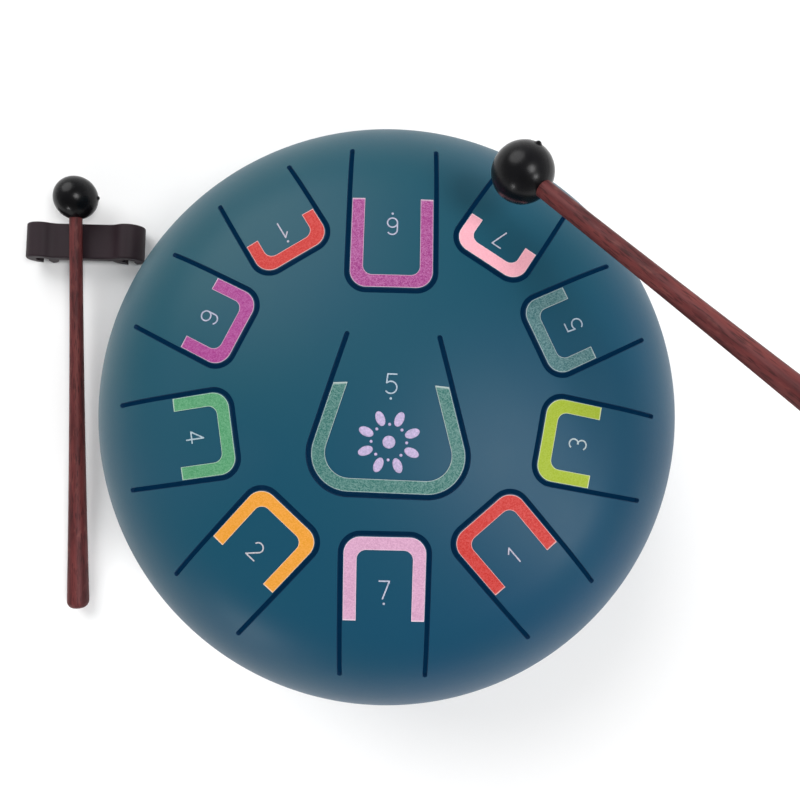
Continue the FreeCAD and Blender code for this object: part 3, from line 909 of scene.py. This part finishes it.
# feet
feet = {"count": 3, "circle": 0.058, "height": 0.012, "topBand": 0.0001, "crownRadius": bowl["crownRadius"],
        "crownCeiling": bowl["bottomBase"] + crownDrop}
# height and radius from the recess under the foot to its top
footOutline = [(0.0016, 0.0), (0.0016, 0.0022), (0.0012, 0.0026), (0.0, 0.003), (0.0, 0.0055),
               (0.0002, 0.0061), (0.0007, 0.0067), (0.0015, 0.007), (0.003, 0.007), (0.0033, 0.0066),
               (0.0037, 0.0066), (0.004, 0.007), (0.006, 0.007), (0.008, 0.007), (0.012, 0.007),
               (0.012, 0.005), (0.012, 0.0025), (0.012, 0.0)]


def footRing(sheet, wires):
    # one turned foot copied round the bowl, its top raised to meet the sheet
    settings = {"transform_space": "ORIGINAL"}
    turnedFoot = sheet.add("GeometryNodeObjectInfo", settings, {0: footPattern}, "Geometry")
    ring = sheet.add("GeometryNodeMeshCircle", {}, {"Vertices": wires["count"], "Radius": wires["circle"]})
    spread = sheet.add("GeometryNodeInstanceOnPoints", {}, {0: ring, "Instance": turnedFoot})
    spread = sheet.add("GeometryNodeTransform", {}, {0: spread, "Rotation": (0.0, 0.0, 0.5 * math.pi)})
    flat = sheet.add("GeometryNodeRealizeInstances", {}, {0: spread})
    axes = sheet.add("ShaderNodeSeparateXYZ", {}, {0: sheet.add("GeometryNodeInputPosition")}, "X")
    y = axes.output("Y")
    z = axes.output("Z")
    under = wires["crownCeiling"] - (wires["crownRadius"] ** 2.0 - axes ** 2.0 - y ** 2.0) ** 0.5
    isTop = z > wires["height"] - wires["topBand"]
    place = sheet.add("ShaderNodeCombineXYZ", {}, {0: axes, 1: y, 2: z + isTop * (under - z)})
    return sheet.add("GeometryNodeSetPosition", {}, {0: flat, "Position": place})


footMesh = spun("footPattern", footOutline, 40)
footMesh.transform(Matrix.Rotation(math.radians(-90), 4, "Y"))
footPattern = addPiece("footPattern", footMesh, [])
rubberFeet = grow("rubberFeet", feet, footRing, footRubber)
bpy.data.objects.remove(footPattern)
faceOutward(rubberFeet.data)
smoothBy(rubberFeet.data, 35)
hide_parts("foot_1", "foot_2", "foot_3")
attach(rubberFeet, "drum")
print("feet made")

# mallets
mallet = {
    "length": 0.1785, "headRadius": 0.00895, "socket": 0.012, "neck": 0.0026, "neckLength": 0.026,
    "neckCut": 0.0003, "waist": 0.00315, "butt": 0.00435, "buttRound": 0.003, "neckCount": 20,
    "taperCount": 70, "roundCount": 10, "around": 48, "nib": 0.0008, "nibWidth": 0.001, "nibPower": 0.8,
    "partingLine": 0.00005, "partingWidth": 0.00016, "headShrink": 0.00007,
}
holderLow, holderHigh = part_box("mallet_holder")
holder = {"x": 0.5 * (holderLow[0] + holderHigh[0]), "y": 0.5 * (holderLow[1] + holderHigh[1]),
          "depth": holderHigh[1] - holderLow[1], "webTop": 0.0104}
buttStation = mallet["length"] - mallet["headRadius"]
shaftStart = mallet["headRadius"] - mallet["socket"]
roundStation = buttStation - mallet["buttRound"]


def throughThree(a, b, c, count):
    # points of the arc through three points
    (ax, ay), (bx, by), (cx, cy) = a, b, c
    aa, bb, cc = ax * ax + ay * ay, bx * bx + by * by, cx * cx + cy * cy
    d = 2 * (ax * (by - cy) + bx * (cy - ay) + cx * (ay - by))
    ux = (aa * (by - cy) + bb * (cy - ay) + cc * (ay - by)) / d
    uy = (aa * (cx - bx) + bb * (ax - cx) + cc * (bx - ax)) / d
    radius = math.hypot(ax - ux, ay - uy)
    first, last = math.atan2(ay - uy, ax - ux), math.atan2(cy - uy, cx - ux)
    turns = [first + (last - first) * k / count for k in range(count + 1)]
    return [(ux + radius * math.cos(turn), uy + radius * math.sin(turn)) for turn in turns]


def shaftMesh(name):
    neck, cut, around = mallet["neck"], mallet["neckCut"], mallet["buttRound"]
    neckStep = (mallet["neckLength"] - shaftStart) / mallet["neckCount"]
    neckEnd = (mallet["neckLength"], neck)
    waist = (0.5 * (mallet["neckLength"] + roundStation), mallet["waist"])
    outline = [(shaftStart, 0.0), (shaftStart, neck - cut), (shaftStart + cut, neck)]
    outline += [(shaftStart + cut + neckStep * k, neck) for k in range(1, mallet["neckCount"])]
    outline += throughThree(neckEnd, waist, (roundStation, mallet["butt"]), mallet["taperCount"])
    inset = mallet["butt"] - around
    for k in range(1, mallet["roundCount"] + 1):
        turn = 0.5 * math.pi * k / mallet["roundCount"]
        outline.append((roundStation + around * math.sin(turn), inset + around * math.cos(turn)))
    outline.append((buttStation, 0.0))
    mesh = spun(name, outline, mallet["around"])
    place = mesh.attributes.new("woodPlace", "FLOAT_VECTOR", "POINT")
    place.data.foreach_set("vector", [value for vertex in mesh.vertices for value in vertex.co])
    smoothBy(mesh, 50)
    return mesh


def headMesh(name, nibTurn):
    # a ball with a small moulding nib and the faint line where the mould closed
    radius = mallet["headRadius"]
    work = bmesh.new()
    bmesh.ops.create_uvsphere(work, u_segments=112, v_segments=64, radius=radius)
    nibWay = Vector((0.0, -math.sin(math.radians(nibTurn)), math.cos(math.radians(nibTurn))))
    plane = nibWay.cross(Vector((1.0, 0.0, 0.0)))
    for vertex in work.verts:
        way = vertex.co.normalized()
        apart = math.acos(max(-1.0, min(1.0, way.dot(nibWay)))) * radius
        nib = mallet["nib"] * max(0.0, 1.0 - (apart / mallet["nibWidth"]) ** 2) ** mallet["nibPower"]
        line = mallet["partingLine"] * math.exp(-((way.dot(plane) * radius) / mallet["partingWidth"]) ** 2)
        vertex.co = way * (radius - mallet["headShrink"] + max(nib, line))
    # each face starts at its lowest corner, so that every run gives the same mesh
    work.verts.index_update()
    faces = []
    for face in work.faces:
        corners = [vertex.index for vertex in face.verts]
        start = corners.index(min(corners))
        faces.append(corners[start:] + corners[:start])
    mesh = bpy.data.meshes.new(name)
    mesh.from_pydata([vertex.co for vertex in work.verts], [], sorted(faces))
    work.free()
    smoothBy(mesh, 180)
    return mesh


def laid(mesh, head, bearing, rise):
    mesh.transform(Matrix.Translation(head) @ Matrix.Rotation(math.radians(bearing), 4, "Z")
                   @ Matrix.Rotation(math.radians(-rise), 4, "Y"))


# the first mallet lies across the holder with its butt on the table, the second is held over the drum
laying = {"headGap": 0.0007, "neckGap": 0.0003, "buttGap": 0.00005, "beside": 0.0016, "bearing": -88.35,
          "nib": -95.0}
held = {"reach": 0.075, "side": 60.87, "height": 0.0271, "bearing": -48.0, "rise": 26.0, "nib": -50.0}
restStation = mallet["headRadius"] + laying["headGap"] + 0.5 * holder["depth"]
frontStation = restStation + 0.5 * holder["depth"]
neckHeight = holder["webTop"] + mallet["neck"] + laying["neckGap"]
fall = math.asin((neckHeight - mallet["butt"] - laying["buttGap"]) / (roundStation - frontStation))
headPlan = turned(restStation * math.cos(fall), 0.0, laying["bearing"])
firstHead = Vector((holder["x"] - laying["beside"] - headPlan[0], holder["y"] - headPlan[1],
                    neckHeight + frontStation * math.sin(fall)))
heldPlan = turned(held["reach"], 0.0, held["side"])
secondHead = Vector((*heldPlan, lift(unroll(heldPlan), 0.0)[0].z + held["height"]))
places = {
    "mallet_1": (firstHead, laying["bearing"], -math.degrees(fall), laying["nib"]),
    "mallet_2": (secondHead, held["bearing"], held["rise"], held["nib"]),
}
for body, (head, bearing, rise, nibTurn) in places.items():
    ball = headMesh(body + "_rubberHead", nibTurn)
    laid(ball, head, bearing, rise)
    ballPiece = addPiece(body + "_rubberHead", ball, [headRubber])
    stick = shaftMesh(body + "_turnedShaft")
    laid(stick, head, bearing, rise)
    stickPiece = addPiece(body + "_turnedShaft", stick, [wood])
    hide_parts(body + "_head")
    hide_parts(body + "_shaft")
    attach(ballPiece, body)
    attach(stickPiece, body)
print("mallets made")

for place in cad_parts["mallet_holder"].material_slots:
    place.material = holderPlastic

# stage, light and camera
studio = {
    "floorSize": 12.0, "floorShade": (0.95, 0.95, 0.95, 1.0), "skyShade": (1.0, 1.0, 1.0, 1.0),
    "zenith": 0.22, "horizon": 1.1, "dimSide": 0.3, "brightEast": 0.31, "brightNorth": 0.39,
    "aim": (0.0, 0.0, 0.06),
    "cameraPlace": (0.0012, -0.0131, 0.3546), "cameraTurn": (3.475, -0.659, 1.316), "lens": 37.44,
}
# broad lights shine evenly over the whole floor, small ones give the heads their two glints
broadLights = {
    "keySky": {"from": (-0.85, 1.2, 1.3), "spread": 46.0, "strength": 1.8},
    "ceilingPanel": {"from": (0.52, -0.12, 1.25), "spread": 21.0, "strength": 1.46},
}
softboxes = {
    "rightSoftbox": {"place": (0.77, -0.45, 0.85), "size": 0.2, "power": 3.0},
    "leftSoftbox": {"place": (-0.6, -0.95, 0.28), "size": 0.14, "power": 1.6},
}

floorMesh = bpy.data.meshes.new("studioFloor")
half = 0.5 * studio["floorSize"]
floorCorners = [(-half, -half, 0.0), (half, -half, 0.0), (half, half, 0.0), (-half, half, 0.0)]
floorMesh.from_pydata(floorCorners, [], [(0, 1, 2, 3)])
floorFinish, floorSheet = newFinish("paleFloor")
closeFinish(floorSheet, {"Base Color": studio["floorShade"], "Roughness": 0.85, "Specular IOR Level": 0.1})
floor = addPiece("studioFloor", floorMesh, [floorFinish])

# the room is brightest near the horizon and towards the north-east
world = bpy.data.worlds.new("softRoom")
world.use_nodes = True
world.node_tree.nodes.clear()
room = NodeSheet(world.node_tree)
way = room.add("ShaderNodeSeparateXYZ", {}, {0: objectPlace(room)}, "X")
side = (way * studio["brightEast"] + way.output("Y") * studio["brightNorth"] + 0.5).clipped()
lit = side * (1.0 - studio["dimSide"]) + studio["dimSide"]
low = (1.0 - way.output("Z").clipped()) ** 2.0
glow = studio["zenith"] + low * lit * (studio["horizon"] - studio["zenith"])
sky = room.add("ShaderNodeBackground", {}, {"Color": studio["skyShade"], "Strength": glow})
room.add("ShaderNodeOutputWorld", {}, {"Surface": sky})
bpy.context.scene.world = world
bpy.context.scene.view_settings.view_transform = "Standard"


def hang(light, place):
    stand = bpy.data.objects.new(light.name, light)
    stand.location = place
    stand.rotation_euler = (Vector(studio["aim"]) - Vector(place)).to_track_quat("-Z", "Y").to_euler()
    bpy.context.scene.collection.objects.link(stand)


for name, lamp in broadLights.items():
    light = bpy.data.lights.new(name, "SUN")
    light.energy = lamp["strength"]
    light.angle = math.radians(lamp["spread"])
    hang(light, lamp["from"])
for name, lamp in softboxes.items():
    light = bpy.data.lights.new(name, "AREA")
    light.energy = lamp["power"]
    light.size = lamp["size"]
    hang(light, lamp["place"])

cameraData = bpy.data.cameras.new("viewCamera")
cameraData.lens = studio["lens"]
cameraData.sensor_width = 36.0
cameraData.clip_start = 0.01
cameraObject = bpy.data.objects.new("viewCamera", cameraData)
cameraObject.location = studio["cameraPlace"]
cameraObject.rotation_euler = [math.radians(value) for value in studio["cameraTurn"]]
bpy.context.scene.collection.objects.link(cameraObject)
bpy.context.scene.camera = cameraObject
print("stage, light and camera set")
